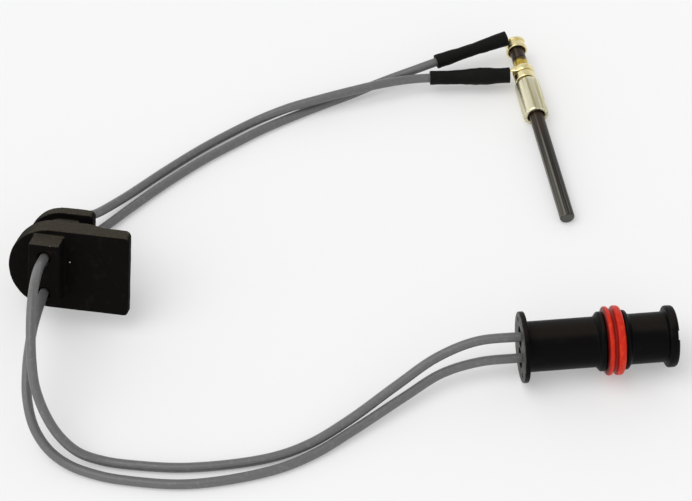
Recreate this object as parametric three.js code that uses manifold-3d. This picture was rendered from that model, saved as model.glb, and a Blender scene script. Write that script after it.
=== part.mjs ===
// Flame sensor probe for a fuel heater: a ceramic sensing rod in a metal sleeve, two brazed
// contact rings, two heat-shrunk splices, a twin lead, a rubber wall grommet and a round
// two-way connector.
// Millimetres, +Z up. The probe lies along Y with its tip towards -Y, and the origin is on the
// surface it lies on, under the middle of the probe.

import * as THREE from 'three';
import { mergeVertices } from 'three/addons/utils/BufferGeometryUtils.js';
import Module from 'manifold-3d';

const wasm = await Module();
wasm.setup();
const { Manifold, Mesh: SolidMesh } = wasm;

// ---------- driving dimensions ----------

const GAP = 0.3;                    // left between pieces that touch

const WIRE_R = 1.3;                 // insulation radius of one lead
const CORE_R = 0.5;                 // stripped strands

const ROD_R = 2.1;
const ROD_LENGTH = 67.8;
const ROD_CHAMFER = 0.3;
const NECK_R = 1.75;                // rod under a metallised band
const BAND_INNER_R = 1.9;
const BAND_OUTER_R = 2.15;
const FRONT_BAND = [52.6, 60.6];    // distances from the rod's tip
const REAR_BAND = [65.0, 67.2];
const LOOP_OFFSET = 0.85;           // each leg of the buried conductor, from the rod's axis
const LOOP_R = 0.28;
const LOOP_CHANNEL_R = 0.58;
const LOOP_TURN = 3;                // where its legs join, from the rod's tip
const LOOP_FRONT_CONTACT = 55.6;    // where its front leg turns out to the front band
const LOOP_CONTACT_R = 1.55;        // how far out that leg ends

const SLEEVE = { from: 38.6, to: 52, outer: 3.75, bore: 2.45, pocket: 2.95, lip: 0.35 };
const SEAL_PLUG = { from: 44, to: 50.4, inner: 2.4, outer: 2.65 };
const FRONT_RING = { from: 52.3, to: 57.2, outer: 3.15, bore: 2.45, groove: 0.25 };
const REAR_RING = { from: 64.4, to: 67.8, outer: 3.15, bore: 2.5, groove: 0.25 };

const CRIMP = { length: 7.5, outer: 1.45, bore: 0.85 };
const TAB = { width: 1.5, thickness: 0.45 };

const GROMMET_AT = [-144.6, -38.7]; // middle of the front plate's round end
const GROMMET_YAW = -18.6;
const GROMMET_LEAN = 24.2;          // tips back onto the edge of its rear plate
const FRONT_PLATE = {
  r: 11.6, reach: 21.3, corner: 1.2, thick: 6.6, thick_to: 9.1, thin: 5.0, thin_from: 13.6, back_r: 2.4,
};
const REAR_PLATE = { r: 10.2, reach: 8.2, corner: 1.5, from: 14.3, to: 17.9 };
const GROMMET_CORE = { r: 8.0, reach: 4.6, corner: 1.0 };
const BOSS = { left: -4.6, right: 3.8, low: -7.8, high: 9.9, depth: 6 };
const GROMMET_HOLES = { across: -0.4, low: -4.6, high: 5.8, r: 1.6, flare: 0.5 };

const CONNECTOR_AT = [-25.2, -81.45];
const CONNECTOR_AZIMUTH = -4.8;
const CONNECTOR_LENGTH = 41.3;
const END_FLANGE_R = 9.5;           // the connector lies on this flange
const BARREL_R = 6.75;
const COLLAR_R = 7.95;
const TIP_FLANGE_R = 8.25;
const SEAL_SEAT = [21.9, 27.3];     // distances from the wire-end face
const COLLARS = [19.9, 28.9];
const SEAL_R = { inner: 6.9, valley: 8.6, lip: 9.3 };
const CAVITY = { pitch: 6.1, roll: 62, r: 2.8, depth: 24.2, throat_r: 1.6 };
const FACE_RECESS = { r: 6.2, depth: 1.2, key_width: 2.4, key_roll: 53 };

const degrees = THREE.MathUtils.degToRad;

// The probe rests on its sleeve's lip and on the rod's tip, so it dips towards the tip.
const PROBE_TILT = Math.atan(
  (SLEEVE.outer - ROD_R) / (SLEEVE.from + SLEEVE.lip - ROD_CHAMFER),
);
const TIP_HEIGHT = ROD_R * Math.cos(PROBE_TILT) - ROD_CHAMFER * Math.sin(PROBE_TILT);
const GROMMET_HEIGHT = REAR_PLATE.r * Math.cos(degrees(GROMMET_LEAN))
  + REAR_PLATE.to * Math.sin(degrees(GROMMET_LEAN));

// Each shrink runs from the end that the lead enters to the end at its contact ring.
const LOWER_SHRINK = {
  start: new THREE.Vector3(-27.7, 24.3, 5.0),
  end: new THREE.Vector3(-4.3, 21.2, 5.0),
  outline: [[0, 2.1], [3, 2.15], [9, 2.3], [12, 2.6], [18, 2.6], [21, 2.35], [23.6, 2.3]],
};
const UPPER_SHRINK = {
  start: new THREE.Vector3(-24.8, 29.5, 6.0),
  end: new THREE.Vector3(-3.2, 33.0, 8.5),
  outline: [[0, 2.1], [4, 2.1], [8, 1.95], [11, 1.95], [14, 1.97], [18, 2.0], [22.0, 1.95]],
};
const SHRINK_WALL = 0.45;
const LEAD_IN_SHRINK = 8;           // how far the insulation reaches into its shrink

// Routes of the two leads, from the shrink, through the grommet, to the connector.
const UPPER_LEAD = [
  [-19.8, 23.25, 5], [-27.7, 24.3, 5], [-34, 24.6, 5.2], [-42, 23.9, 5.6],
  [-50.5, 22.9, 5.5], [-60.5, 21.8, 4.9], [-70.2, 20.8, 3.9], [-79.7, 19, 2.4],
  [-88.8, 15.6, 1.7], [-98.1, 11.1, 1.45], [-109.2, 4.5, 1.5], [-120.2, -3.5, 2.6],
  [-125.6, -7.5, 3.6], [-130.3, -11.2, 5.2], [-134, -14.1, 8], [-136.9, -17, 11.4],
  [-139, -20.8, 14.55], [-142.5, -31.15, 19.45], [-145.95, -41.5, 24.4], [-147.3, -46, 26.6],
  [-148.3, -50.2, 28], [-149.6, -55.9, 28.3], [-150.65, -61, 27], [-151.6, -66.9, 24.1],
  [-152.2, -72, 20.4], [-152.2, -77, 16.6], [-150.7, -82.2, 11.8], [-147.9, -86.6, 7.2],
  [-143.6, -90.2, 3.7], [-137.6, -92.7, 1.85], [-129.9, -95.2, 1.45], [-115.8, -98.4, 1.35],
  [-95.4, -99.2, 1.5], [-84.4, -97.1, 2.1], [-73, -92.4, 3.5], [-58.7, -85.4, 6.4],
  [-47.6, -80.8, 9.4], [-36.6, -79, 11.6], [-24.9, -80, 12.2], [-9.6, -81.3, 12.2],
];
const LOWER_LEAD = [
  [-16.9, 30.8, 6.93], [-24.8, 29.5, 6], [-30.6, 28.5, 5.2], [-37, 27.7, 4],
  [-43.5, 26.8, 2.7], [-50.6, 25.2, 1.6], [-58.4, 23, 1.35], [-67.3, 20.2, 1.35],
  [-78.8, 16, 1.35], [-88, 11.8, 1.35], [-97.2, 7.3, 1.35], [-108.2, 0.8, 1.35],
  [-118.8, -6.4, 1.45], [-128.9, -13.9, 1.8], [-134.4, -17.8, 2.3], [-138, -21, 3.4],
  [-140.35, -24.8, 5.05], [-143.85, -35.2, 10], [-147.35, -45.55, 14.9], [-148.4, -50.2, 16.9],
  [-149.7, -55, 18.2], [-151.1, -59.8, 18.5], [-152.4, -64.6, 17.7], [-153.7, -69.9, 15.7],
  [-154.7, -76.5, 12], [-154, -83, 7.7], [-151.1, -88.4, 4.3], [-146.5, -92.6, 2.2],
  [-139.8, -96.5, 1.45], [-132.7, -99.4, 1.35], [-116.5, -103.5, 1.35], [-95.2, -103.1, 1.35],
  [-83.8, -100.1, 1.5], [-72.1, -94.9, 2.4], [-57.4, -88.1, 4.3], [-46.6, -83.5, 5.8],
  [-36.3, -82.2, 6.7], [-25.1, -82.9, 6.8], [-9.9, -84.2, 6.8],
];
const LEAD_STEPS = 40;

// ---------- materials ----------

const finish = (color, roughness, metalness = 0) =>
  new THREE.MeshStandardMaterial({ color, roughness, metalness });

const ceramic = finish(0x46413c, 0.55);
const conductor = finish(0x8c8a86, 0.4, 1);
const metallising = finish(0xa8862a, 0.35, 1);
const brass = finish(0xd8c88c, 0.3, 1);
const sleeveMetal = finish(0xcdc6a4, 0.32, 1);
const braze = finish(0xb7a070, 0.5, 1);
const tinnedMetal = finish(0xb9b8b2, 0.35, 1);
const copper = finish(0xb8734a, 0.4, 1);
const shrinkPlastic = finish(0x1d1d1d, 0.6);
const insulation = finish(0x77797a, 0.5);
const rubber = finish(0x221f1d, 0.85);
const connectorPlastic = finish(0x1b1b1b, 0.45);
const silicone = finish(0xc8391f, 0.4);

// ---------- helpers ----------

const part = new THREE.Group();

function addMesh(name, geometry, material, parent = part) {
  const mesh = new THREE.Mesh(geometry, material);
  mesh.name = name;
  parent.add(mesh);
  return mesh;
}

// Revolves [distance along +Y, radius] pairs. A profile that leaves the axis is closed on itself.
function lathe(profile, sides) {
  const points = profile.map(([along, radius]) => new THREE.Vector2(radius, along));
  if (profile[0][1] > 0) points.push(points[0].clone());
  return new THREE.LatheGeometry(points, sides);
}

function toSolid(geometry) {
  const bare = geometry.clone();
  bare.deleteAttribute('normal');
  bare.deleteAttribute('uv');
  const merged = mergeVertices(bare, 1e-4);
  return new Manifold(new SolidMesh({
    numProp: 3,
    vertProperties: new Float32Array(merged.attributes.position.array),
    triVerts: new Uint32Array(merged.index.array),
  }));
}

function toGeometry(solid) {
  const { numProp, vertProperties, triVerts } = solid.getMesh();
  const positions = new Float32Array((vertProperties.length / numProp) * 3);
  for (let i = 0; i < positions.length / 3; i += 1) {
    positions.set(vertProperties.subarray(i * numProp, i * numProp + 3), i * 3);
  }
  const geometry = new THREE.BufferGeometry();
  geometry.setAttribute('position', new THREE.BufferAttribute(positions, 3));
  geometry.setIndex(new THREE.BufferAttribute(new Uint32Array(triVerts), 1));
  geometry.computeVertexNormals();
  return geometry;
}

function tube(route, radius, sides, steps) {
  const section = new THREE.Shape();
  for (let i = 0; i < sides; i += 1) {
    const angle = (i / sides) * 2 * Math.PI;
    const corner = [radius * Math.cos(angle), radius * Math.sin(angle)];
    if (i === 0) section.moveTo(...corner);
    else section.lineTo(...corner);
  }
  section.closePath();
  return new THREE.ExtrudeGeometry(section, { steps, extrudePath: route, bevelEnabled: false });
}

const smoothRoute = (points) => new THREE.CatmullRomCurve3(
  points.map((point) => (point.isVector3 ? point : new THREE.Vector3(...point))),
  false,
  'centripetal',
);

// A cylinder whose axis is parallel to +Y.
function pin(radius, from, to, across, up, sides) {
  return new THREE.CylinderGeometry(radius, radius, to - from, sides)
    .translate(across, (from + to) / 2, up);
}

// A group whose +Y runs from start to end.
function groupAlong(start, end) {
  const group = new THREE.Group();
  const direction = end.clone().sub(start).normalize();
  group.quaternion.setFromUnitVectors(new THREE.Vector3(0, 1, 0), direction);
  group.position.copy(start);
  part.add(group);
  return group;
}

// ---------- probe ----------

const ROD_SIDES = 32;

// The buried conductor: two legs joined near the tip, one ending short of the rod's rear face and
// one turning out towards the front band. Its channel is the same shape, made wider and longer.
function conductorLoop(radius, longer) {
  const leg = (to, up) => toSolid(pin(radius, LOOP_TURN, to, 0, up, 8));
  const upright = (along, from, to) => toSolid(new THREE.CylinderGeometry(radius, radius, to - from, 8)
    .rotateX(Math.PI / 2).translate(0, along, (from + to) / 2));
  return leg(ROD_LENGTH - 1 + longer, LOOP_OFFSET)
    .add(leg(LOOP_FRONT_CONTACT, -LOOP_OFFSET))
    .add(upright(LOOP_TURN, -LOOP_OFFSET, LOOP_OFFSET))
    .add(upright(LOOP_FRONT_CONTACT, -LOOP_CONTACT_R - longer, -LOOP_OFFSET));
}

function ceramicRod() {
  const body = toSolid(lathe([
    [0, 0],
    [0, ROD_R - ROD_CHAMFER],
    [ROD_CHAMFER, ROD_R],
    [FRONT_BAND[0] - GAP, ROD_R],
    [FRONT_BAND[0] - GAP, NECK_R],
    [FRONT_BAND[1] + GAP, NECK_R],
    [FRONT_BAND[1] + GAP, ROD_R],
    [REAR_BAND[0] - GAP, ROD_R],
    [REAR_BAND[0] - GAP, NECK_R],
    [ROD_LENGTH - GAP, NECK_R],
    [ROD_LENGTH - GAP, 0],
  ], ROD_SIDES));
  return toGeometry(body.subtract(conductorLoop(LOOP_CHANNEL_R, 2)));
}

const band = ([from, to]) => lathe([
  [from, BAND_INNER_R], [from, BAND_OUTER_R], [to, BAND_OUTER_R], [to, BAND_INNER_R],
], ROD_SIDES);

// A turned ring with one shallow groove round its middle.
function contactRing({ from, to, outer, bore, groove }) {
  const middle = (from + to) / 2;
  const edge = 0.25;
  return lathe([
    [from, bore], [from, outer - edge], [from + edge, outer],
    [middle - groove, outer], [middle, outer - groove], [middle + groove, outer],
    [to - edge, outer], [to, outer - edge], [to, bore],
  ], ROD_SIDES);
}

function metalSleeve() {
  const { from, to, outer, bore, pocket, lip } = SLEEVE;
  const shoulder = 0.9;
  const mouth = 0.9;
  return lathe([
    [from, bore + lip], [from, outer - lip], [from + lip, outer],
    [to - shoulder, outer], [to - shoulder / 3, outer - shoulder / 3], [to, outer - shoulder],
    [to, bore], [to - mouth, bore], [to - mouth - GAP, pocket],
    [SEAL_PLUG.from - GAP, pocket], [SEAL_PLUG.from - 2 * GAP, bore], [from + lip, bore],
  ], ROD_SIDES);
}

const sealPlug = () => lathe([
  [SEAL_PLUG.from, SEAL_PLUG.inner], [SEAL_PLUG.from, SEAL_PLUG.outer],
  [SEAL_PLUG.to, SEAL_PLUG.outer], [SEAL_PLUG.to, SEAL_PLUG.inner],
], ROD_SIDES);

const probe = new THREE.Group();
probe.rotation.x = PROBE_TILT;
probe.position.set(0, -(ROD_LENGTH / 2) * Math.cos(PROBE_TILT), TIP_HEIGHT);
part.add(probe);

addMesh('ceramic_rod', ceramicRod(), ceramic, probe);
addMesh('conductor_loop', toGeometry(conductorLoop(LOOP_R, 0)), conductor, probe);
addMesh('front_metallised_band', band(FRONT_BAND), metallising, probe);
addMesh('rear_metallised_band', band(REAR_BAND), metallising, probe);
addMesh('front_contact_ring', contactRing(FRONT_RING), brass, probe);
addMesh('rear_contact_ring', contactRing(REAR_RING), brass, probe);
addMesh('metal_sleeve', metalSleeve(), sleeveMetal, probe);
addMesh('sleeve_seal_plug', sealPlug(), braze, probe);

// ---------- splices ----------

const SPLICE_SIDES = 20;

function heatShrink(outline) {
  const inside = outline.map(([along, radius]) => [along, radius - SHRINK_WALL]).reverse();
  return lathe([...outline, ...inside], SPLICE_SIDES);
}

function crimpBarrel() {
  const { length, outer, bore } = CRIMP;
  const edge = 0.2;
  return lathe([
    [0, bore], [0, outer - edge], [edge, outer],
    [length - edge, outer], [length, outer - edge], [length, bore],
  ], SPLICE_SIDES);
}

// The splice's parts are placed by their distance along the shrink.
function addSplice(prefix, shrink, tabReach) {
  const { start, end, outline } = shrink;
  const group = groupAlong(start, end);
  const coreFrom = LEAD_IN_SHRINK + GAP;
  const crimpFrom = coreFrom + 1.5;
  const coreTo = crimpFrom + CRIMP.length / 2 - GAP;
  const tabFrom = crimpFrom + CRIMP.length + GAP;
  const tabTo = start.distanceTo(end) + tabReach;
  addMesh(`${prefix}_heat_shrink`, heatShrink(outline), shrinkPlastic, group);
  addMesh(`${prefix}_crimp_barrel`, crimpBarrel().translate(0, crimpFrom, 0), tinnedMetal, group);
  addMesh(`${prefix}_stripped_end`, pin(CORE_R, coreFrom, coreTo, 0, 0, 8), copper, group);
  const tab = new THREE.BoxGeometry(TAB.width, tabTo - tabFrom, TAB.thickness)
    .translate(0, (tabFrom + tabTo) / 2, 0);
  addMesh(`${prefix}_contact_tab`, tab, brass, group);
}

addSplice('front', LOWER_SHRINK, 0.7);
addSplice('rear', UPPER_SHRINK, 1.4);

// ---------- leads ----------

addMesh('upper_lead', tube(smoothRoute(UPPER_LEAD), WIRE_R, 8, LEAD_STEPS), insulation);
addMesh('lower_lead', tube(smoothRoute(LOWER_LEAD), WIRE_R, 8, LEAD_STEPS), insulation);

// ---------- grommet ----------
// Its own axes: X across to the square end, Y into the wall, Z up the plate.

const ARC_SIDES = 20;

// A plate that is half round at -X and square at +X, standing between two depths.
function dPlate({ r, reach, corner }, from, to) {
  const shape = new THREE.Shape();
  shape.absarc(0, 0, r, Math.PI / 2, 1.5 * Math.PI);
  shape.absarc(reach - corner, -r + corner, corner, -Math.PI / 2, 0);
  shape.absarc(reach - corner, r - corner, corner, 0, Math.PI / 2);
  shape.closePath();
  const options = { depth: to - from, bevelEnabled: false, curveSegments: ARC_SIDES };
  return new THREE.ExtrudeGeometry(shape, options).rotateX(Math.PI / 2).translate(0, to, 0);
}

// The front plate as seen from above: thick behind the boss, thinner at the square end.
function frontPlatePlan() {
  const { r, reach, thick, thick_to: thickTo, thin, thin_from: thinFrom, back_r: backR } = FRONT_PLATE;
  const shape = new THREE.Shape();
  shape.moveTo(-r - 1, 0);
  shape.lineTo(reach, 0);
  shape.lineTo(reach, thin - backR);
  shape.absarc(reach - backR, thin - backR, backR, 0, Math.PI / 2);
  shape.lineTo(thinFrom, thin);
  shape.lineTo(thickTo, thick);
  shape.lineTo(-r - 1, thick);
  shape.closePath();
  const options = { depth: 2 * r + 2, bevelEnabled: false, curveSegments: 6 };
  return new THREE.ExtrudeGeometry(shape, options).translate(0, 0, -r - 1);
}

function grommetBoss() {
  const { left, right, low, high, depth } = BOSS;
  return new THREE.BoxGeometry(right - left, depth + 1, high - low)
    .translate((left + right) / 2, (1 - depth) / 2, (low + high) / 2);
}

function leadHole(height) {
  const { across, r, flare } = GROMMET_HOLES;
  const front = -BOSS.depth;
  const back = REAR_PLATE.to;
  return lathe([
    [front - 1, 0], [front - 1, r + flare], [front, r + flare], [front + flare, r],
    [back - flare, r], [back, r + flare], [back + 1, r + flare], [back + 1, 0],
  ], 16).translate(across, 0, height);
}

function grommetBody() {
  const front = toSolid(dPlate(FRONT_PLATE, 0, FRONT_PLATE.thick))
    .intersect(toSolid(frontPlatePlan()));
  const core = toSolid(dPlate(GROMMET_CORE, FRONT_PLATE.thick - 1, REAR_PLATE.from + 1));
  const rear = toSolid(dPlate(REAR_PLATE, REAR_PLATE.from, REAR_PLATE.to));
  return toGeometry(front
    .add(core)
    .add(rear)
    .add(toSolid(grommetBoss()))
    .subtract(toSolid(leadHole(GROMMET_HOLES.low)))
    .subtract(toSolid(leadHole(GROMMET_HOLES.high))));
}

const grommet = new THREE.Group();
grommet.rotation.set(degrees(-GROMMET_LEAN), 0, degrees(GROMMET_YAW), 'ZXY');
grommet.position.set(...GROMMET_AT, GROMMET_HEIGHT);
part.add(grommet);
addMesh('rubber_grommet', grommetBody(), rubber, grommet);

// ---------- connector ----------
// Its own +Y runs from the wire-end face to the mating face.

const CONNECTOR_SIDES = 36;
const cavityAngle = degrees(CAVITY.roll);
const cavityOffsets = [1, -1].map((side) => [
  -side * (CAVITY.pitch / 2) * Math.cos(cavityAngle),
  side * (CAVITY.pitch / 2) * Math.sin(cavityAngle),
]);

function housingBody() {
  const flange = 1.5;
  const rim = 0.3;
  const tipFrom = CONNECTOR_LENGTH - 2.7;
  const tipRim = 0.8;
  return lathe([
    [0, 0], [0, END_FLANGE_R - rim], [rim, END_FLANGE_R], [flange - rim, END_FLANGE_R],
    [flange, END_FLANGE_R - rim], [flange, BARREL_R],
    [COLLARS[0], BARREL_R], [COLLARS[0] + 3 * rim, COLLAR_R], [SEAL_SEAT[0], COLLAR_R],
    [SEAL_SEAT[0], SEAL_R.inner - GAP], [SEAL_SEAT[1], SEAL_R.inner - GAP],
    [SEAL_SEAT[1], COLLAR_R], [COLLARS[1] - rim, COLLAR_R], [COLLARS[1], BARREL_R],
    [tipFrom, BARREL_R], [tipFrom, TIP_FLANGE_R - tipRim], [tipFrom + tipRim, TIP_FLANGE_R],
    [CONNECTOR_LENGTH - tipRim, TIP_FLANGE_R], [CONNECTOR_LENGTH, TIP_FLANGE_R - tipRim],
    [CONNECTOR_LENGTH, 0],
  ], CONNECTOR_SIDES);
}

function terminalCavity([across, up]) {
  const { r, depth, throat_r: throatR } = CAVITY;
  return lathe([
    [-1, 0], [-1, r], [depth, r], [depth + 1, throatR],
    [CONNECTOR_LENGTH + 1, throatR], [CONNECTOR_LENGTH + 1, 0],
  ], 20).translate(across, 0, up);
}

// One keyway through the mating rim.
function keyway() {
  const { depth, key_width: width, key_roll: roll } = FACE_RECESS;
  return new THREE.BoxGeometry(TIP_FLANGE_R + 1, 2 * depth, width)
    .translate((TIP_FLANGE_R + 1) / 2, CONNECTOR_LENGTH, 0)
    .rotateY(-degrees(roll));
}

function connectorHousing() {
  const { r, depth } = FACE_RECESS;
  const recess = pin(r, CONNECTOR_LENGTH - depth, CONNECTOR_LENGTH + 1, 0, 0, CONNECTOR_SIDES);
  let solid = toSolid(housingBody()).subtract(toSolid(recess)).subtract(toSolid(keyway()));
  for (const offset of cavityOffsets) solid = solid.subtract(toSolid(terminalCavity(offset)));
  return toGeometry(solid);
}

function sealRing() {
  const [from, to] = [SEAL_SEAT[0] + GAP, SEAL_SEAT[1] - GAP];
  const { inner, valley, lip } = SEAL_R;
  const third = (to - from) / 3;
  return lathe([
    [from, inner], [from, valley], [from + 0.5 * third, lip], [from + third, lip],
    [from + 1.5 * third, valley], [from + 2 * third, lip], [from + 2.5 * third, lip],
    [to, valley], [to, inner],
  ], CONNECTOR_SIDES);
}

// A turned socket terminal: crimp barrel, locking collar and socket, bored right through.
const TERMINAL = { from: 17, crimpTo: 22.6, collarTo: 23.9, to: 39.3, bore: 0.85 };

function socketTerminal([across, up]) {
  const { from, crimpTo, collarTo, to, bore } = TERMINAL;
  return lathe([
    [from, bore], [from, 1.4], [crimpTo, 1.4], [crimpTo, 2.1], [collarTo, 2.1],
    [collarTo, 1.25], [to - 0.3, 1.25], [to, 1.0], [to, bore],
  ], 16).translate(across, 0, up);
}

const connector = new THREE.Group();
connector.rotation.z = degrees(CONNECTOR_AZIMUTH - 90);
connector.position.set(...CONNECTOR_AT, END_FLANGE_R);
part.add(connector);

addMesh('connector_housing', connectorHousing(), connectorPlastic, connector);
addMesh('connector_seal', sealRing(), silicone, connector);
const LEAD_IN_CAVITY = 15.5;
for (const [index, offset] of cavityOffsets.entries()) {
  const prefix = ['upper', 'lower'][index];
  const core = pin(CORE_R, LEAD_IN_CAVITY + GAP, TERMINAL.crimpTo - 1, ...offset, 8);
  addMesh(`${prefix}_socket_terminal`, socketTerminal(offset), tinnedMetal, connector);
  addMesh(`${prefix}_connector_stripped_end`, core, copper, connector);
}

export default part;
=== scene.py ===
import math

import bmesh
import bpy
from mathutils import Matrix, Vector, noise


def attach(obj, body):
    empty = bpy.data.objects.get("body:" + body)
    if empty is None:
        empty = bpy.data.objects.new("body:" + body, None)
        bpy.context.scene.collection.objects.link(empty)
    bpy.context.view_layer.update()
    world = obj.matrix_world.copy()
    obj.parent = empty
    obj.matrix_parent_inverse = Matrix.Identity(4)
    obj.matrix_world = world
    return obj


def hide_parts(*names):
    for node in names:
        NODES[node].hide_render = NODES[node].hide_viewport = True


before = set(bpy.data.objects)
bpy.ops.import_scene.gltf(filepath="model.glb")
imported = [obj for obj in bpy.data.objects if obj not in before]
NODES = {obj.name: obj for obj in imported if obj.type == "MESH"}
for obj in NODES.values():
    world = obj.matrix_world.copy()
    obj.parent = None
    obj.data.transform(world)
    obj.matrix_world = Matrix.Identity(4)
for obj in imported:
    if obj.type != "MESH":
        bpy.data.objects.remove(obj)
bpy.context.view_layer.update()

MM = 0.001
SCENE = bpy.context.scene

# ---------- driving sizes, in millimetres, and angles in radians ----------

GAP = 0.3                           # left between pieces that touch
WIRE_R = 1.3

# Places along the probe are distances from the rod's tip, and a pair is (from, to).
ROD_LENGTH = 67.8
ROD_R = 2.1
ROD_CHAMFER = 0.3
NECK_R = 1.75                       # rod under a metallised band
BAND_INNER_R = 1.9
BAND_OUTER_R = 2.15
FRONT_BAND = (52.6, 60.6)
REAR_BAND = (65.0, 67.2)
LOOP_OFFSET = 0.85                  # each leg of the buried conductor, from the rod's axis
LOOP_CHANNEL_R = 0.58
LOOP_TURN = 3.0
LOOP_FRONT_CONTACT = 55.6
SLEEVE = (38.6, 52.0)
SLEEVE_R = 3.75
SLEEVE_BORE_R = 2.45
SLEEVE_LIP = 0.35
SLEEVE_POCKET = (43.7, 50.8)
SLEEVE_POCKET_R = 2.95
SEAL_PLUG = (44.0, 50.4)
RING_R = 3.15
FRONT_RING = (52.3, 57.2)
REAR_RING = (64.4, 67.8)

# Places along the connector are distances from its wire-end face.
CONNECTOR_AT = (-25.2, -81.45)
CONNECTOR_AZIMUTH = math.radians(-4.8)
CONNECTOR_LENGTH = 41.3
END_FLANGE_R = 9.5                  # the connector lies on this flange
END_FLANGE_TO = 1.5
BARREL_R = 6.75
COLLARS = (19.9, 28.9)
COLLAR_R = 7.95
SEAL_SEAT = (21.9, 27.3)
SEAL_SEAT_R = 6.55
SEAL_INNER_R = 6.85
SEAL_VALLEY = (24.0, 24.6)
TIP_FLANGE_FROM = CONNECTOR_LENGTH - 2.7
TIP_FLANGE_R = 8.25
FACE_RECESS_R = 6.2
FACE_RECESS_DEPTH = 1.2
CAVITY_R = 2.8
CAVITY_DEPTH = 24.2
CAVITY_OFFSET = 3.05                # of each cavity from the connector's axis
CAVITY_ROLL = math.radians(62)
SOCKET_R = 1.6
KEYWAY_WIDTH = 2.4
KEYWAY_DEPTH = 0.45
KEYWAY_ROLL = math.radians(53)
DIMPLE_R = 0.75
DIMPLE_OFFSET = 7.4

# ---------- camera ----------

camera_data = bpy.data.cameras.new("camera")
camera_data.sensor_width = 36.0
camera_data.lens = 118.1
camera = bpy.data.objects.new("camera", camera_data)
SCENE.collection.objects.link(camera)
SCENE.camera = camera
CAMERA_AT = Vector((-0.13523, -0.43337, 0.48533))
CAMERA_LOOKS_AT = Vector((-0.06311, -0.03257, 0.0))
camera.location = CAMERA_AT
camera.rotation_mode = "QUATERNION"
camera.rotation_quaternion = (CAMERA_LOOKS_AT - CAMERA_AT).to_track_quat("-Z", "Y")

# ---------- cord routes, in metres, as in the CAD source ----------

UPPER_LEAD = [
    (-0.0198, 0.02325, 0.005), (-0.0277, 0.0243, 0.005), (-0.034, 0.0246, 0.0052),
    (-0.042, 0.0239, 0.0056), (-0.0505, 0.0229, 0.0055), (-0.0605, 0.0218, 0.0049),
    (-0.0702, 0.0208, 0.0039), (-0.0797, 0.019, 0.0024), (-0.0888, 0.0156, 0.0017),
    (-0.0981, 0.0111, 0.00145), (-0.1092, 0.0045, 0.0015), (-0.1202, -0.0035, 0.0026),
    (-0.1256, -0.0075, 0.0036), (-0.1303, -0.0112, 0.0052), (-0.134, -0.0141, 0.008),
    (-0.1369, -0.017, 0.0114), (-0.139, -0.0208, 0.01455), (-0.1425, -0.03115, 0.01945),
    (-0.14595, -0.0415, 0.0244), (-0.1473, -0.046, 0.0266), (-0.1483, -0.0502, 0.028),
    (-0.1496, -0.0559, 0.0283), (-0.15065, -0.061, 0.027), (-0.1516, -0.0669, 0.0241),
    (-0.1522, -0.072, 0.0204), (-0.1522, -0.077, 0.0166), (-0.1507, -0.0822, 0.0118),
    (-0.1479, -0.0866, 0.0072), (-0.1436, -0.0902, 0.0037), (-0.1376, -0.0927, 0.00185),
    (-0.1299, -0.0952, 0.00145), (-0.1158, -0.0984, 0.00135), (-0.0954, -0.0992, 0.0015),
    (-0.0844, -0.0971, 0.0021), (-0.073, -0.0924, 0.0035), (-0.0587, -0.0854, 0.0064),
    (-0.0476, -0.0808, 0.0094), (-0.0366, -0.079, 0.0116), (-0.0249, -0.08, 0.0122),
    (-0.0096, -0.0813, 0.0122),
]
LOWER_LEAD = [
    (-0.0169, 0.0308, 0.00693), (-0.0248, 0.0295, 0.006), (-0.0306, 0.0285, 0.0052),
    (-0.037, 0.0277, 0.004), (-0.0435, 0.0268, 0.0027), (-0.0506, 0.0252, 0.0016),
    (-0.0584, 0.023, 0.00135), (-0.0673, 0.0202, 0.00135), (-0.0788, 0.016, 0.00135),
    (-0.088, 0.0118, 0.00135), (-0.0972, 0.0073, 0.00135), (-0.1082, 0.0008, 0.00135),
    (-0.1188, -0.0064, 0.00145), (-0.1289, -0.0139, 0.0018), (-0.1344, -0.0178, 0.0023),
    (-0.138, -0.021, 0.0034), (-0.14035, -0.0248, 0.00505), (-0.14385, -0.0352, 0.01),
    (-0.14735, -0.04555, 0.0149), (-0.1484, -0.0502, 0.0169), (-0.1497, -0.055, 0.0182),
    (-0.1511, -0.0598, 0.0185), (-0.1524, -0.0646, 0.0177), (-0.1537, -0.0699, 0.0157),
    (-0.1547, -0.0765, 0.012), (-0.154, -0.083, 0.0077), (-0.1511, -0.0884, 0.0043),
    (-0.1465, -0.0926, 0.0022), (-0.1398, -0.0965, 0.00145), (-0.1327, -0.0994, 0.00135),
    (-0.1165, -0.1035, 0.00135), (-0.0952, -0.1031, 0.00135), (-0.0838, -0.1001, 0.0015),
    (-0.0721, -0.0949, 0.0024), (-0.0574, -0.0881, 0.0043), (-0.0466, -0.0835, 0.0058),
    (-0.0363, -0.0822, 0.0067), (-0.0251, -0.0829, 0.0068), (-0.0099, -0.0842, 0.0068),
]


def lead_curve(name, route, radius):
    """One open Bezier spline through the route, with centripetal Catmull-Rom tangents."""
    points = [Vector(p) for p in route]
    points = [2 * points[0] - points[1], *points, 2 * points[-1] - points[-2]]
    data = bpy.data.curves.new(name, "CURVE")
    data.dimensions = "3D"
    data.twist_mode = "MINIMUM"
    data.bevel_depth = radius
    data.bevel_resolution = 6
    data.resolution_u = 10
    data.use_fill_caps = True
    spline = data.splines.new("BEZIER")
    spline.bezier_points.add(len(route) - 1)
    for i, knot in enumerate(spline.bezier_points, start=1):
        before, here, after = points[i - 1:i + 2]
        d0 = math.sqrt((here - before).length)
        d1 = math.sqrt((after - here).length)
        slope = (here - before) / d0 - (after - before) / (d0 + d1) + (after - here) / d1
        knot.co = here
        knot.handle_left_type = knot.handle_right_type = "FREE"
        knot.handle_left = here - slope * d0 / 3
        knot.handle_right = here + slope * d1 / 3
    curve = bpy.data.objects.new(name, data)
    SCENE.collection.objects.link(curve)
    return curve


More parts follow.
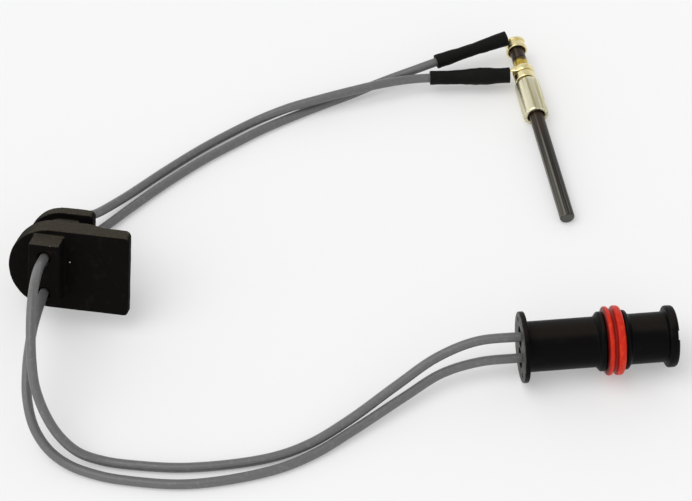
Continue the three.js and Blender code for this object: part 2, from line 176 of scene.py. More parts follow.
upper_sheath = lead_curve("upper_lead_sheath", UPPER_LEAD, WIRE_R * MM)
lower_sheath = lead_curve("lower_lead_sheath", LOWER_LEAD, WIRE_R * MM)

# ---------- mesh helpers ----------

ARC_STEPS = 4


def rounded(corners, closed):
    """The path through (along, radius, rounding) corners, with each corner made a short curve."""
    flat = [Vector(corner[:2]) for corner in corners]
    path = []
    for i, here in enumerate(flat):
        rounding = corners[i][2] if len(corners[i]) > 2 else 0.0
        if rounding <= 0 or (not closed and i in (0, len(flat) - 1)):
            path.append(here)
            continue
        ends = []
        for other in (flat[i - 1], flat[(i + 1) % len(flat)]):
            side = other - here
            ends.append(here + side.normalized() * min(rounding, 0.48 * side.length))
        for k in range(ARC_STEPS + 1):
            t = k / ARC_STEPS
            path.append(ends[0].lerp(here, t).lerp(here.lerp(ends[1], t), t))
    return path


def divided(path, closed, step):
    """The path with its long stretches cut into steps."""
    out = []
    for here, after in zip(path, path[1:] + path[:1]):
        count = max(1, math.ceil((after - here).length / step))
        out += [here.lerp(after, k / count) for k in range(count)]
    if not closed:
        out = out[:out.index(path[-1]) + 1]
    return out


def turned(corners, sides=96, step=None, extra=None):
    """A profile turned about local +Y, in millimetres. One that leaves the axis closes on itself.
    extra(along, angle, radius) gives a change in radius."""
    closed = corners[0][1] > 0
    path = rounded(corners, closed)
    if step:
        path = divided(path, closed, step)
    bm = bmesh.new()
    rings = []
    for along, radius in path:
        if radius < 1e-6:
            rings.append([bm.verts.new((0, along * MM, 0))])
            continue
        ring = []
        for k in range(sides):
            angle = 2 * math.pi * k / sides
            r = radius + (extra(along, angle, radius) if extra else 0.0)
            ring.append(bm.verts.new((r * math.cos(angle) * MM, along * MM, r * math.sin(angle) * MM)))
        rings.append(ring)
    for ring, following in zip(rings, rings[1:] + (rings[:1] if closed else [])):
        for k in range(sides):
            after = k + 1
            loop = [ring[k % len(ring)], ring[after % len(ring)],
                    following[after % len(following)], following[k % len(following)]]
            loop = list(dict.fromkeys(loop))
            if len(loop) > 2:
                bm.faces.new(loop)
    bmesh.ops.recalc_face_normals(bm, faces=bm.faces)
    return bm


def skinned(rings):
    """A skin over rings with the same number of points, in millimetres, closed at both ends."""
    bm = bmesh.new()
    rings = [[bm.verts.new(point * MM) for point in ring] for ring in rings]
    for ring, following in zip(rings, rings[1:]):
        for k in range(len(ring)):
            after = (k + 1) % len(ring)
            bm.faces.new((ring[k], ring[after], following[after], following[k]))
    bm.faces.new(rings[0])
    bm.faces.new(rings[-1])
    bmesh.ops.recalc_face_normals(bm, faces=bm.faces)
    return bm


def to_mesh(name, bm):
    """The bmesh as a named mesh. The bmesh is freed."""
    mesh = bpy.data.meshes.new(name)
    bm.to_mesh(mesh)
    bm.free()
    return mesh


def bar(radius, start, end, sides=16):
    """A mesh of a straight round bar, in millimetres."""
    turn = (Vector(end) - Vector(start)).to_track_quat("Z", "Y")
    angles = [2 * math.pi * k / sides for k in range(sides)]
    spokes = [turn @ Vector((radius * math.cos(a), radius * math.sin(a), 0)) for a in angles]
    return to_mesh("bar", skinned([[Vector(here) + spoke for spoke in spokes] for here in (start, end)]))


def smooth(mesh, sharp_above):
    """Smooth shading, with edges above that angle, in degrees, left sharp."""
    mesh.polygons.foreach_set("use_smooth", [True] * len(mesh.polygons))
    mesh.set_sharp_from_angle(angle=math.radians(sharp_above))


def new_object(name, mesh, place=Matrix.Identity(4)):
    made = bpy.data.objects.new(name, mesh)
    SCENE.collection.objects.link(made)
    made.matrix_world = place
    return made


def with_modifiers(name, mesh, modifiers):
    """The mesh after the modifiers, given as (type, {setting: value})."""
    worker = new_object(name, mesh)
    for kind, settings in modifiers:
        modifier = worker.modifiers.new(kind.lower(), kind)
        for key, value in settings.items():
            setattr(modifier, key, value)
    bpy.context.view_layer.update()
    evaluated = worker.evaluated_get(bpy.context.evaluated_depsgraph_get())
    result = bpy.data.meshes.new_from_object(evaluated)
    result.name = name
    bpy.data.objects.remove(worker)
    return result


def cut_from(name, body, tools):
    """The body with each of the tools cut away."""
    cutters = [new_object(f"cutter_{i}", tool) for i, tool in enumerate(tools)]
    cuts = [("BOOLEAN", {"operation": "DIFFERENCE", "solver": "EXACT", "object": c}) for c in cutters]
    result = with_modifiers(name, body, cuts)
    for cutter in cutters:
        bpy.data.objects.remove(cutter)
    return result


def declare(piece, cad_node):
    """Puts a piece on the part, in place of the CAD node it stands for."""
    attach(piece, "root")
    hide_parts(cad_node)


def add_piece(name, mesh, place, material, cad_node, sharp_above=32.0):
    """Makes a piece of a finished mesh."""
    smooth(mesh, sharp_above)
    mesh.materials.clear()
    mesh.materials.append(material)
    declare(new_object(name, mesh, place), cad_node)


# ---------- material helpers ----------


class Finish:
    """A Principled material built up from procedural layers, in the piece's own coordinates."""

    def __init__(self, name, color, roughness, metallic=0.0, specular=0.5):
        self.material = bpy.data.materials.new(name)
        self.material.use_nodes = True
        self.tree = self.material.node_tree
        self.shader = self.tree.nodes["Principled BSDF"]
        self.color = (*color, 1.0)
        self.shader.inputs["Base Color"].default_value = self.color
        self.shader.inputs["Roughness"].default_value = roughness
        self.shader.inputs["Metallic"].default_value = metallic
        self.shader.inputs["Specular IOR Level"].default_value = specular
        self.color_from = None
        self.height_from = None

    def node(self, kind, **values):
        made = self.tree.nodes.new("ShaderNode" + kind)
        for key, value in values.items():
            if key in made.inputs:
                made.inputs[key].default_value = value
            else:
                setattr(made, key, value)
        return made

    def join(self, source, target):
        self.tree.links.new(source, target)

    def where(self, stretch=(1, 1, 1)):
        """The piece's own coordinates in millimetres, stretched along its axes."""
        place = self.node("TexCoord")
        scale = self.node("Mapping")
        scale.inputs["Scale"].default_value = [s / MM for s in stretch]
        self.join(place.outputs["Object"], scale.inputs["Vector"])
        return scale.outputs["Vector"]

    def noise(self, scale, stretch=(1, 1, 1), detail=3.0, roughness=0.55):
        made = self.node("TexNoise", Scale=scale, Detail=detail, Roughness=roughness)
        self.join(self.where(stretch), made.inputs["Vector"])
        return made.outputs["Fac"]

    def specks(self, scale, size):
        """1 in small round specks, about scale cubed of them in a cubic millimetre."""
        cells = self.node("TexVoronoi", Scale=scale)
        self.join(self.where(), cells.inputs["Vector"])
        return self.between(cells.outputs["Distance"], size, size * 0.6)

    def along(self, axis):
        """One of the piece's own coordinates, in millimetres."""
        split = self.node("SeparateXYZ")
        self.join(self.where(), split.inputs[0])
        return split.outputs[axis]

    def facing_up(self, low, high):
        """1 on the faces that look up and 0 on upright ones; the tops are painted paler with it, as
        painted top light, and on the rubber also as dust.
        """
        facing = self.node("NewGeometry")
        split = self.node("SeparateXYZ")
        self.join(facing.outputs["Normal"], split.inputs[0])
        return self.between(split.outputs["Z"], low, high)

    def between(self, value, low, high):
        """0 at low and 1 at high, with a soft step between them."""
        step = self.node("MapRange", interpolation_type="SMOOTHSTEP")
        step.inputs["From Min"].default_value = low
        step.inputs["From Max"].default_value = high
        self.join(value, step.inputs["Value"])
        return step.outputs["Result"]

    def math(self, operation, first, second):
        made = self.node("Math", operation=operation)
        for socket, value in zip(made.inputs, (first, second)):
            if isinstance(value, (int, float)):
                socket.default_value = value
            else:
                self.join(value, socket)
        return made.outputs[0]

    def tint(self, mask, color):
        """Mixes a colour in where the mask is 1."""
        mix = self.node("Mix", data_type="RGBA")
        first, second, result = mix.inputs[6], mix.inputs[7], mix.outputs[2]
        first.default_value = self.color
        second.default_value = (*color, 1.0)
        if self.color_from is not None:
            self.join(self.color_from, first)
        self.join(mask, mix.inputs["Factor"])
        self.color_from = result
        self.join(result, self.shader.inputs["Base Color"])

    def rough_by(self, value, low, high):
        """Drives the roughness from a mask: low where it is 0 and high where it is 1."""
        step = self.node("MapRange")
        step.inputs["To Min"].default_value = low
        step.inputs["To Max"].default_value = high
        self.join(value, step.inputs["Value"])
        self.join(step.outputs["Result"], self.shader.inputs["Roughness"])

    def relief(self, height, depth):
        """Adds a bump of that depth, in millimetres."""
        bump = self.node("Bump", Strength=1.0, Distance=depth * MM)
        self.join(height, bump.inputs["Height"])
        if self.height_from is not None:
            self.join(self.height_from, bump.inputs["Normal"])
        self.height_from = bump.outputs["Normal"]
        self.join(self.height_from, self.shader.inputs["Normal"])


# ---------- materials ----------


def ceramic_finish():
    """Dark fired ceramic, ground along its length."""
    made = Finish("ceramic", (0.011, 0.0095, 0.007), 0.34, specular=0.3)
    streaks = made.noise(0.9, (1, 0.008, 1), detail=2)
    grains = made.noise(7.0)
    made.tint(made.between(streaks, 0.44, 0.62), (0.150, 0.138, 0.112))
    made.tint(made.between(grains, 0.56, 0.70), (0.014, 0.013, 0.010))
    scorched = made.math("MULTIPLY", made.between(made.along("Y"), 24.0, 38.0), 0.6)
    made.tint(scorched, (0.034, 0.018, 0.010))
    made.tint(made.between(made.along("Y"), 0.30, 0.05), (0.060, 0.061, 0.050))
    made.rough_by(grains, 0.26, 0.5)
    made.relief(streaks, 0.03)
    made.relief(grains, 0.012)
    return made.material


def metallising_finish():
    """The deep gold layer fired onto the rod, thin and stained towards its free edge."""
    made = Finish("metallising", (0.58, 0.42, 0.08), 0.3, 1.0)
    patches = made.noise(1.1, (1, 0.6, 1), detail=4)
    edge = made.between(made.math("ADD", made.along("Y"), made.math("MULTIPLY", patches, 1.4)),
                        FRONT_BAND[1] - 0.6, FRONT_BAND[1] + 0.2)
    made.tint(made.between(patches, 0.50, 0.68), (0.42, 0.27, 0.05))
    made.tint(edge, (0.10, 0.07, 0.03))
    made.rough_by(patches, 0.22, 0.42)
    made.relief(patches, 0.02)
    return made.material


def brass_finish():
    """Turned brass with fine rings round its axis and a few dull patches."""
    made = Finish("brass", (0.86, 0.76, 0.43), 0.27, 1.0)
    turning = made.noise(6.0, (0.05, 1, 0.05), detail=2)
    stains = made.noise(0.7, detail=4)
    made.tint(made.between(stains, 0.55, 0.75), (0.66, 0.50, 0.22))
    made.rough_by(stains, 0.2, 0.4)
    made.relief(turning, 0.012)
    made.relief(stains, 0.03)
    return made.material


def sleeve_finish():
    """Pale gold plating over a drawn tube, streaked along its length; the darker streaks are partly a
    painted reflection.
    """
    made = Finish("sleeve_metal", (0.74, 0.70, 0.51), 0.27, 1.0)
    drawn = made.noise(1.1, (1, 0.02, 1))
    clouds = made.noise(0.5, (1, 0.5, 1))
    # partly painted reflection: the darker olive streaks are drawn marks and also stand for the dark
    # stripe that the sleeve reflects.
    made.tint(made.between(drawn, 0.46, 0.62), (0.46, 0.42, 0.24))
    made.tint(made.between(clouds, 0.55, 0.8), (0.78, 0.74, 0.58))
    made.rough_by(drawn, 0.2, 0.38)
    made.relief(drawn, 0.025)
    return made.material


def braze_finish():
    made = Finish("braze", (0.50, 0.40, 0.22), 0.5, 1.0)
    lumps = made.noise(1.6, detail=4)
    made.tint(made.between(lumps, 0.5, 0.7), (0.24, 0.19, 0.12))
    made.relief(lumps, 0.1)
    return made.material


def tinned_finish():
    """Tin plating, slightly cloudy."""
    made = Finish("tinned_metal", (0.66, 0.66, 0.64), 0.3, 1.0)
    clouds = made.noise(1.5, (1, 0.4, 1), detail=4)
    made.tint(made.between(clouds, 0.5, 0.75), (0.46, 0.46, 0.45))
    made.rough_by(clouds, 0.2, 0.45)
    made.relief(clouds, 0.015)
    return made.material


def copper_finish():
    made = Finish("copper", (0.72, 0.34, 0.18), 0.3, 1.0)
    clouds = made.noise(2.5)
    made.tint(made.between(clouds, 0.55, 0.75), (0.36, 0.16, 0.08))
    made.rough_by(clouds, 0.22, 0.45)
    return made.material


def conductor_finish():
    made = Finish("conductor", (0.30, 0.29, 0.28), 0.4, 1.0)
    clouds = made.noise(2.0, (1, 0.2, 1))
    made.tint(made.between(clouds, 0.5, 0.7), (0.16, 0.15, 0.15))
    made.relief(clouds, 0.02)
    return made.material


def shrink_finish():
    """Matte black polyolefin with fine wrinkles round it and pale dust."""
    made = Finish("heat_shrink", (0.0042, 0.0041, 0.0037), 0.5, specular=0.1)
    wrinkles = made.noise(1.5, (0.5, 2.2, 0.5), detail=4)
    grains = made.noise(9.0, detail=2)
    made.tint(made.between(wrinkles, 0.58, 0.78), (0.010, 0.0095, 0.009))
    made.tint(made.between(grains, 0.70, 0.80), (0.03, 0.03, 0.028))
    made.rough_by(wrinkles, 0.48, 0.72)
    made.relief(wrinkles, 0.06)
    made.relief(grains, 0.015)
    return made.material


def insulation_finish():
    """Grey wire insulation, with a satin skin that is a little mottled."""
    made = Finish("insulation", (0.112, 0.113, 0.112), 0.36, specular=0.55)
    mottle = made.noise(0.8, detail=4)
    grains = made.noise(6.0, detail=2)
    made.tint(made.between(mottle, 0.5, 0.75), (0.150, 0.151, 0.150))
    made.tint(made.between(grains, 0.66, 0.80), (0.09, 0.09, 0.088))
    made.rough_by(mottle, 0.30, 0.44)
    made.relief(grains, 0.01)
    return made.material


def rubber_finish():
    """Moulded black-brown rubber with bloom on it and a few pale specks."""
    made = Finish("rubber", (0.0034, 0.0028, 0.0026), 0.75, specular=0.04)
    bloom = made.noise(0.35, detail=5, roughness=0.65)
    grains = made.noise(5.0)
    made.tint(made.between(bloom, 0.50, 0.76), (0.0085, 0.0062, 0.005))
    # painted top light and dust: the plain paler tint on upward faces is painted light from above, and the
    # speckled grit on them is dust.
    dust = made.facing_up(0.6, 0.95)
    grit = made.between(made.noise(2.4, detail=4), 0.56, 0.70)
    made.tint(dust, (0.040, 0.035, 0.026))
    made.tint(made.math("MULTIPLY", dust, grit), (0.090, 0.080, 0.060))
    made.tint(made.between(grains, 0.60, 0.74), (0.014, 0.0125, 0.0105))
    made.tint(made.specks(0.25, 0.07), (0.50, 0.48, 0.42))
    made.rough_by(bloom, 0.6, 0.85)
    made.relief(bloom, 0.12)
    made.relief(grains, 0.04)
    return made.material


def connector_finish():
    """Black glass-filled nylon with a fine moulded grain."""
    made = Finish("connector_plastic", (0.0020, 0.0016, 0.0016), 0.36, specular=0.05)
    grains = made.noise(4.5)
    flow = made.noise(0.3, (1, 0.4, 1), detail=4)
    made.tint(made.between(flow, 0.52, 0.75), (0.0042, 0.0038, 0.0035))
    # painted top light: the faces that look up are painted a paler brown, as if lit from above.
    made.tint(made.facing_up(0.88, 1.0), (0.0105, 0.0082, 0.0064))
    # painted light: the wire-end face, turned towards the light on the left, is painted paler grey in
    # mottled patches.
    wire_face = made.between(made.along("Y"), 0.3, 0.02)
    painted_light_mottle = made.between(made.noise(0.7), 0.2, 0.7)
    made.tint(made.math("MULTIPLY", wire_face, painted_light_mottle), (0.075, 0.075, 0.071))
    made.rough_by(grains, 0.3, 0.5)
    made.relief(grains, 0.012)
    made.relief(flow, 0.03)
    return made.material


def silicone_finish():
    """Red silicone, slightly translucent and dusty, with painted shade between and behind its lips."""
    made = Finish("silicone", (0.54, 0.018, 0.005), 0.36, specular=0.15)
    clouds = made.noise(0.9, detail=4)
    dust = made.noise(6.0, (1, 0.5, 1))
    along = made.along("Y")
    low, high = SEAL_VALLEY
    valley = made.math("MULTIPLY", made.between(along, low - 0.5, low + 0.1),
                       made.between(along, high + 0.6, high))
    made.tint(made.between(clouds, 0.5, 0.75), (0.66, 0.050, 0.014))
    made.tint(made.between(dust, 0.70, 0.82), (0.70, 0.20, 0.12))
    # painted shade: the seal's front edge, against the collar, and the valley between its lips are painted
    # a deep dark red.
    made.tint(made.between(along, SEAL_SEAT[0] + 1.0, SEAL_SEAT[0] + 0.4), (0.10, 0.003, 0.002))
    made.tint(valley, (0.22, 0.006, 0.003))
    made.rough_by(clouds, 0.3, 0.45)
    made.relief(clouds, 0.03)
    made.shader.inputs["Subsurface Weight"].default_value = 0.25
    made.shader.inputs["Subsurface Radius"].default_value = (0.0012, 0.0003, 0.0002)
    made.shader.inputs["Subsurface Scale"].default_value = 1.0
    return made.material


CERAMIC = ceramic_finish()
METALLISING = metallising_finish()
BRASS = brass_finish()
SLEEVE_METAL = sleeve_finish()
BRAZE = braze_finish()
TINNED = tinned_finish()
COPPER = copper_finish()
CONDUCTOR = conductor_finish()
SHRINK = shrink_finish()
INSULATION = insulation_finish()
RUBBER = rubber_finish()
CONNECTOR_PLASTIC = connector_finish()
SILICONE = silicone_finish()

# ---------- leads ----------

for sheath, cad_node in ((upper_sheath, "upper_lead"), (lower_sheath, "lower_lead")):
    sheath.data.materials.append(INSULATION)
    declare(sheath, cad_node)

# ---------- probe ----------
# Its own axes: +Y from the rod's tip to its wired end. It rests on its tip and the sleeve's lip.

PROBE_DIP = math.atan((SLEEVE_R - ROD_R) / (SLEEVE[0] + SLEEVE_LIP - ROD_CHAMFER))
TIP_HEIGHT = ROD_R * math.cos(PROBE_DIP) - ROD_CHAMFER * math.sin(PROBE_DIP)
PROBE = (Matrix.Translation((0, -ROD_LENGTH / 2 * math.cos(PROBE_DIP) * MM, TIP_HEIGHT * MM))
         @ Matrix.Rotation(PROBE_DIP, 4, "X"))


def uneven(amount, scale, seed):
    """A change in radius that varies smoothly over a turned piece."""
    def extra(along, angle, radius):
        place = Vector((radius * math.cos(angle), along, radius * math.sin(angle))) * scale
        return amount * noise.noise(place + Vector((seed, 0, 0)))
    return extra


def rod_mesh():
    """Ground rod: chamfered tip, a neck under each metallised band, and the conductor's channel."""
    front_neck = (FRONT_BAND[0] - GAP, FRONT_BAND[1] + GAP)
    rear_neck = (REAR_BAND[0] - GAP, ROD_LENGTH - GAP)
    body = to_mesh("rod", turned([
        (0, 0), (0, ROD_R - 0.42, 0.12), (0.36, ROD_R, 0.25), (front_neck[0], ROD_R),
        (front_neck[0], NECK_R), (front_neck[1], NECK_R), (front_neck[1], ROD_R, 0.1),
        (rear_neck[0], ROD_R, 0.1), (rear_neck[0], NECK_R), (rear_neck[1], NECK_R, 0.3),
        (rear_neck[1], 0),
    ], step=1.5, extra=uneven(0.012, 0.8, 3.0)))
    turn, leg, contact = LOOP_TURN, LOOP_OFFSET, LOOP_FRONT_CONTACT
    outside = -3.0
    return cut_from("rod", body, [
        bar(LOOP_CHANNEL_R, (0, turn, leg), (0, ROD_LENGTH + 1, leg)),
        bar(LOOP_CHANNEL_R, (0, turn, -leg), (0, contact, -leg)),
        bar(LOOP_CHANNEL_R, (0, turn, -leg), (0, turn, leg)),
        bar(LOOP_CHANNEL_R, (0, contact, outside), (0, contact, -leg)),
    ])


def band_mesh(low, high, ragged):
    """A thin fired band whose free edge wanders a little."""
    bm = turned([(low, BAND_INNER_R), (low, BAND_OUTER_R, 0.05), (high, BAND_OUTER_R, 0.05),
                 (high, BAND_INNER_R)], step=0.8)
    for vertex in bm.verts:
        if vertex.co.y > (high - 0.3) * MM:
            angle = math.atan2(vertex.co.z, vertex.co.x)
            place = Vector((math.cos(angle), math.sin(angle), 0.4)) * 1.7
            vertex.co.y += ragged * noise.noise(place) * MM
    return to_mesh("band", bm)


def sleeve_mesh():
    """Drawn sleeve: chamfered mouth, rounded shoulder and a wider pocket for its seal inside."""
    low, high = SLEEVE
    pocket_low, pocket_high = SLEEVE_POCKET
    outer, bore = SLEEVE_R, SLEEVE_BORE_R
    return to_mesh("sleeve", turned([
        (low, bore + 0.3, 0.12), (low, outer - 0.3, 0.2), (low + SLEEVE_LIP, outer, 0.25),
        (high - 0.95, outer, 0.9), (high, outer - 0.95, 0.5), (high, bore, 0.2),
        (pocket_high + 0.3, bore), (pocket_high, SLEEVE_POCKET_R), (pocket_low, SLEEVE_POCKET_R),
        (pocket_low - 0.3, bore), (low + 0.3, bore, 0.1),
    ], sides=128, step=1.0, extra=uneven(0.012, 0.6, 8.0)))


def front_ring_mesh():
    """A turned collar, with a seat behind it for the strip that is wrapped round."""
    low, high = FRONT_RING
    seat = low + 2.3
    return to_mesh("front_ring", turned([
        (low, SLEEVE_BORE_R, 0.1), (low, RING_R - 0.05, 0.3), (seat, RING_R - 0.03, 0.3),
        (seat + 0.15, RING_R - 0.42, 0.08), (high, RING_R - 0.38, 0.15), (high, SLEEVE_BORE_R, 0.1),
    ], sides=128, step=0.5, extra=uneven(0.05, 0.75, 1.0)))


def rear_ring_mesh():
    """A cup: wide lip towards the tip, narrower body, and a closed-in rear end."""
    low, high = REAR_RING
    body = RING_R - 0.22
    return to_mesh("rear_ring", turned([
        (low, 2.62, 0.12), (low, RING_R, 0.22), (low + 1.1, RING_R, 0.2), (low + 1.32, body, 0.1),
        (high, body, 0.7), (high, 2.2, 0.15), (low + 1.7, 2.2, 0.1), (low + 1.4, 2.58, 0.1),
    ], sides=128, step=0.5, extra=uneven(0.035, 0.8, 5.0)))


def seal_plug_mesh():
    low, high = SEAL_PLUG
    return to_mesh("seal_plug", turned([
        (low, 2.15, 0.1), (low, 2.7, 0.25), (high, 2.7, 0.25), (high, 2.15, 0.1),
    ], step=0.5, extra=uneven(0.06, 1.2, 2.0)))


PROBE_PIECES = (
    ("probe_rod", rod_mesh(), CERAMIC, "ceramic", "ceramic_rod"),
    ("front_gold_band", band_mesh(*FRONT_BAND, 0.35), METALLISING, "metallising",
     "front_metallised_band"),
    ("rear_gold_band", band_mesh(*REAR_BAND, 0.1), METALLISING, "metallising", "rear_metallised_band"),
    ("front_ring", front_ring_mesh(), BRASS, "brass", "front_contact_ring"),
    ("rear_ring", rear_ring_mesh(), BRASS, "brass", "rear_contact_ring"),
    ("sleeve", sleeve_mesh(), SLEEVE_METAL, "sleeve_metal", "metal_sleeve"),
    ("sleeve_seal", seal_plug_mesh(), BRAZE, "braze", "sleeve_seal_plug"),
)
for name, mesh, finish, slot, cad_node in PROBE_PIECES:
    add_piece(name, mesh, PROBE, finish, cad_node)

# ---------- contact tabs ----------
# Strips that leave a splice and wrap round a ring, in the probe's own axes.


def ribbon(stations, thickness):
    """A strip through (centre, outward, width) stations, with its width along local Y."""
    rings = []
    for centre, outward, width in stations:
        across = Vector((0, width / 2, 0))
        lift = outward.normalized() * thickness
        rings.append((centre - across, centre + across, centre + across + lift, centre - across + lift))
    return skinned(rings)


def bent_strip(name, stations, thickness):
    """The strip with its edges broken."""
    return with_modifiers(name, to_mesh(name, ribbon(stations, thickness)), [
        ("BEVEL", {"width": 0.12 * MM, "segments": 2, "limit_method": "ANGLE"})])


def round_the_ring(along, radius, first, last, width, steps):
    """Stations of a strip that lies on a ring, from one angle to another, in degrees."""
    stations = []
    for k in range(steps + 1):
        angle = math.radians(first + (last - first) * k / steps)
        outward = Vector((math.cos(angle), 0, math.sin(angle)))
        stations.append((outward * radius + Vector((0, along, 0)), outward, width))
    return stations


def front_tab_mesh():
    """Starts as a narrow tail in the splice and widens into the band round the front ring."""
    up = Vector((-0.3, 0, 1))
    tail = [(Vector((-9.4, 55.2, 1.4)), up, 1.2), (Vector((-6.2, 55.5, 1.5)), up, 1.1),
            (Vector((-4.4, 55.8, 1.62)), up, 0.9), (Vector((-3.5, 55.9, 1.75)), up, 1.1),
            (Vector((-3.0, 55.9, 2.0)), Vector((-0.6, 0, 1)), 1.5)]
    wrap = round_the_ring(55.95, RING_R - 0.36, 132, -200, width=2.05, steps=90)
    return bent_strip("front_tab", tail + wrap, 0.4)


def rear_tab_mesh():
    """A narrower strip, hooked over the rear edge of the rear ring."""
    up = Vector((-0.2, 0, 1))
    tail = [(Vector((-9.0, 66.0, 2.6)), up, 1.2), (Vector((-5.6, 66.6, 3.0)), up, 1.1),
            (Vector((-3.4, 67.1, 3.0)), up, 0.9), (Vector((-2.5, 67.3, 2.4)), Vector((-0.7, 0, 0.7)), 0.8)]
    wrap = round_the_ring(67.45, RING_R - 0.42, 128, 20, width=0.8, steps=40)
    return bent_strip("rear_tab", tail + wrap, 0.45)


add_piece("front_tab", front_tab_mesh(), PROBE, BRASS, "front_contact_tab")
add_piece("rear_tab", rear_tab_mesh(), PROBE, BRASS, "rear_contact_tab")

# ---------- splices ----------
# Their own axes: +Y from the lead to the ring.


def along_line(start, end):
    """The place of a piece whose +Y runs from one point to another, in millimetres."""
    turn = Vector((0, 1, 0)).rotation_difference(Vector(end) - Vector(start))
    return Matrix.Translation(Vector(start) * MM) @ turn.to_matrix().to_4x4()


SHRINK_WALL = 0.45


def shrink_mesh(outline, seed):
    """A shrunk tube, open at both ends, wrinkled where it was drawn down over the splice."""
    outside = [(along, radius, 1.2) for along, radius in outline]
    outside[0] = (*outline[0], 0.12)
    outside[-1] = (*outline[-1], 0.12)
    inside = [(along, radius - SHRINK_WALL, 0.08) for along, radius in reversed(outline)]

    def extra(along, angle, radius):
        place = Vector((radius * math.cos(angle), along * 0.9, radius * math.sin(angle)))
        broad = noise.noise(place * 0.45 + Vector((seed, 0, 0)))
        fine = noise.noise(place * 1.6 + Vector((0, seed, 0)))
        return 0.14 * broad + 0.05 * fine
    return to_mesh("shrink", turned(outside + inside, sides=72, step=0.35, extra=extra))


SHRINKS = (
    ("front_shrink", (-27.7, 24.3, 5.0), (-4.3, 21.2, 5.0),
     [(0, 2.1), (3, 2.05), (9, 2.12), (13, 2.5), (17.5, 2.6), (20.8, 2.15), (23.6, 2.35)],
     "front_heat_shrink"),
    ("rear_shrink", (-24.8, 29.5, 6.0), (-3.2, 33.0, 8.5),
     [(0, 2.12), (4, 2.1), (9, 1.88), (13, 1.88), (18, 2.05), (22.4, 2.25)], "rear_heat_shrink"),
)
for seed, (name, start, end, outline, cad_node) in enumerate(SHRINKS, start=3):
    mesh = shrink_mesh(outline, 5.0 * seed)
    add_piece(name, mesh, along_line(start, end), SHRINK, cad_node)

# ---------- grommet ----------


def grommet_mesh():
    """The moulding with its edges rounded off and a slightly uneven skin."""
    mesh = with_modifiers("grommet", NODES["rubber_grommet"].data.copy(), [
        ("REMESH", {"mode": "VOXEL", "voxel_size": 0.24 * MM}),
        ("SMOOTH", {"factor": 0.5, "iterations": 14}),
    ])
    normals = [vertex.normal.copy() for vertex in mesh.vertices]
    for vertex, normal in zip(mesh.vertices, normals):
        place = vertex.co / MM
        lump = noise.noise(place * 0.35) * 0.05 + noise.noise(place * 2.2) * 0.012
        vertex.co += normal * lump * MM
    return mesh


add_piece("grommet", grommet_mesh(), Matrix.Identity(4), RUBBER, "rubber_grommet", 60)

# ---------- connector ----------
# Its own axes: +Y from the wire-end face to the mating face.

CONNECTOR = (Matrix.Translation((CONNECTOR_AT[0] * MM, CONNECTOR_AT[1] * MM, END_FLANGE_R * MM))
             @ Matrix.Rotation(CONNECTOR_AZIMUTH - math.pi / 2, 4, "Z"))


def housing_body():
    """The turned outside: wire-end flange, barrel, two collars with the seal's seat, tip flange."""
    seat_low, seat_high = SEAL_SEAT
    collar_low, collar_high = COLLARS
    tip, length = TIP_FLANGE_FROM, CONNECTOR_LENGTH
    return to_mesh("housing", turned([
        (0, 0), (0, END_FLANGE_R, 0.35), (END_FLANGE_TO, END_FLANGE_R, 0.4),
        (END_FLANGE_TO, BARREL_R, 0.8), (collar_low, BARREL_R, 0.4), (collar_low + 0.9, COLLAR_R, 0.35),
        (seat_low, COLLAR_R, 0.2), (seat_low, SEAL_SEAT_R), (seat_high, SEAL_SEAT_R),
        (seat_high, COLLAR_R, 0.25), (collar_high - 0.7, COLLAR_R, 0.6), (collar_high, BARREL_R, 0.5),
        (tip, BARREL_R, 0.5), (tip, TIP_FLANGE_R, 0.7), (length, TIP_FLANGE_R, 1.1), (length, 0),
    ], sides=128, step=2.0))


def recess_tool():
    """The shallow pocket in the mating face."""
    face = CONNECTOR_LENGTH
    return to_mesh("recess", turned([
        (face - FACE_RECESS_DEPTH, 0), (face - FACE_RECESS_DEPTH, FACE_RECESS_R, 0.2),
        (face - 0.3, FACE_RECESS_R, 0.1), (face + 0.3, FACE_RECESS_R + 0.5), (face + 0.3, 0)]))


def cavity_tool(side):
    """The bore of one terminal, the upper one or, for -1, the lower one."""
    mouth = CONNECTOR_LENGTH - 0.9
    tool = to_mesh("cavity", turned([
        (-0.5, 0), (-0.5, CAVITY_R + 0.6), (0.25, CAVITY_R, 0.1), (CAVITY_DEPTH, CAVITY_R),
        (CAVITY_DEPTH + 1, SOCKET_R), (mouth - 0.6, SOCKET_R, 0.1), (mouth, SOCKET_R + 0.5), (mouth, 0),
    ], sides=48))
    away = Vector((-math.cos(CAVITY_ROLL), 0, math.sin(CAVITY_ROLL))) * CAVITY_OFFSET
    tool.transform(Matrix.Translation(side * away * MM))
    return tool


def dimple_tool(side):
    """A moulding dimple in the wire-end face."""
    place = Vector((-0.79, 0, 0.61)) * side * DIMPLE_OFFSET
    return bar(DIMPLE_R, place + Vector((0, -1, 0)), place + Vector((0, 0.45, 0)), 24)


def keyway_tool():
    """A shallow notch through the rim of the mating face."""
    half, inner, outer = KEYWAY_WIDTH / 2, 5.0, 9.6
    outline = ((inner, -half), (outer, -half), (outer, half), (inner, half))
    depths = (CONNECTOR_LENGTH - KEYWAY_DEPTH, CONNECTOR_LENGTH + 1)
    tool = to_mesh("keyway", skinned([[Vector((x, y, z)) for x, z in outline] for y in depths]))
    tool.transform(Matrix.Rotation(-KEYWAY_ROLL, 4, "Y"))
    return tool


def housing_mesh():
    """The body with its recess, cavities, dimples and keyway cut in."""
    return cut_from("housing", housing_body(), [
        recess_tool(), cavity_tool(1), cavity_tool(-1), dimple_tool(1), dimple_tool(-1), keyway_tool()])


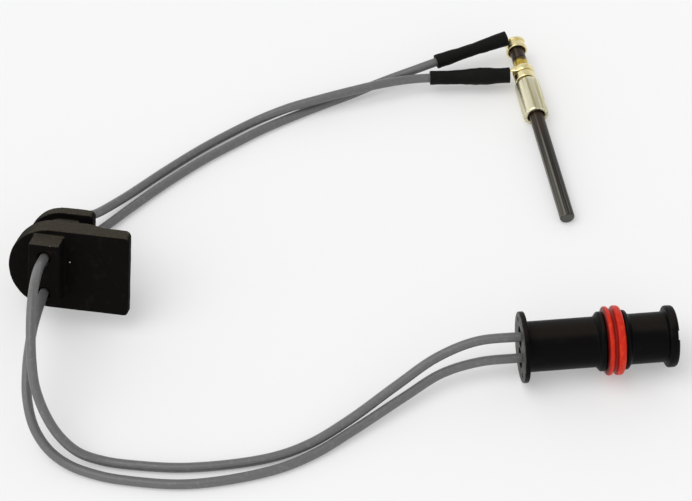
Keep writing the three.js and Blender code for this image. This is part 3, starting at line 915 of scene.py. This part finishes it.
def seal_mesh():
    """Two round lips with a deep valley between them."""
    low, high = SEAL_SEAT[0] + GAP, SEAL_SEAT[1] - GAP
    valley_low, valley_high = SEAL_VALLEY
    return to_mesh("seal", turned([
        (low, SEAL_INNER_R, 0.2), (low, 8.35, 0.35), (low + 0.4, 9.2, 0.35),
        (valley_low - 0.5, 9.22, 0.4), (valley_low, 8.5, 0.25),
        (valley_high, 8.5, 0.25), (valley_high + 0.35, 9.28, 0.35),
        (high - 0.6, 9.3, 0.45), (high, 8.4, 0.35), (high, SEAL_INNER_R, 0.2),
    ], sides=160, extra=uneven(0.05, 0.5, 4.0)))


add_piece("housing", housing_mesh(), CONNECTOR, CONNECTOR_PLASTIC,
          "connector_housing", 28)
add_piece("ring_seal", seal_mesh(), CONNECTOR, SILICONE, "connector_seal", 28)

# ---------- the other CAD nodes keep their shape ----------

KEPT = {
    "conductor_loop": CONDUCTOR,
    "front_crimp_barrel": TINNED, "rear_crimp_barrel": TINNED,
    "front_stripped_end": COPPER, "rear_stripped_end": COPPER,
    "upper_socket_terminal": TINNED, "lower_socket_terminal": TINNED,
    "upper_connector_stripped_end": COPPER, "lower_connector_stripped_end": COPPER,
}
for cad_node, finish in KEPT.items():
    NODES[cad_node].data.materials.clear()
    NODES[cad_node].data.materials.append(finish)

# ---------- floor and light ----------

FLOOR_HALF = 3.0
bm = bmesh.new()
bm.faces.new([bm.verts.new((x * FLOOR_HALF, y * FLOOR_HALF, 0))
              for x, y in ((-1, -1), (1, -1), (1, 1), (-1, 1))])
floor = new_object("floor", to_mesh("floor", bm))
paper = Finish("floor", (0.62, 0.62, 0.62), 0.9, specular=0.0)
paper.shader.inputs["Emission Color"].default_value = (1.0, 1.0, 1.0, 1.0)
paper.shader.inputs["Emission Strength"].default_value = 0.26
floor.data.materials.append(paper.material)


def sun(name, comes_from, strength, spread):
    """Parallel light that comes from a direction, softened over a spread in degrees."""
    data = bpy.data.lights.new(name, "SUN")
    data.energy = strength
    data.angle = math.radians(spread)
    light = bpy.data.objects.new(name, data)
    SCENE.collection.objects.link(light)
    light.rotation_mode = "QUATERNION"
    light.rotation_quaternion = (-Vector(comes_from)).to_track_quat("-Z", "Y")


def studio_sky(horizon, zenith, side):
    """White walls that get darker overhead. On the left they are brighter, by the share in side."""
    world = bpy.data.worlds.new("studio")
    SCENE.world = world
    world.use_nodes = True
    nodes, links = world.node_tree.nodes, world.node_tree.links
    direction = nodes.new("ShaderNodeTexCoord")
    split = nodes.new("ShaderNodeSeparateXYZ")
    links.new(direction.outputs["Generated"], split.inputs[0])
    height = nodes.new("ShaderNodeMapRange")
    height.inputs["To Min"].default_value = horizon
    height.inputs["To Max"].default_value = zenith
    links.new(split.outputs["Z"], height.inputs["Value"])
    sideways = nodes.new("ShaderNodeMapRange")
    sideways.inputs["From Min"].default_value = -1.0
    sideways.inputs["To Min"].default_value = 1.0 + side
    sideways.inputs["To Max"].default_value = 1.0
    links.new(split.outputs["X"], sideways.inputs["Value"])
    product = nodes.new("ShaderNodeMath")
    product.operation = "MULTIPLY"
    links.new(height.outputs["Result"], product.inputs[0])
    links.new(sideways.outputs["Result"], product.inputs[1])
    nodes["Background"].inputs["Color"].default_value = (1.0, 1.0, 1.0, 1.0)
    links.new(product.outputs[0], nodes["Background"].inputs["Strength"])


studio_sky(horizon=0.95, zenith=0.42, side=0.5)
sun("key", comes_from=(-0.42, -0.05, 1.0), strength=1.2, spread=50)
SCENE.view_settings.view_transform = "Standard"
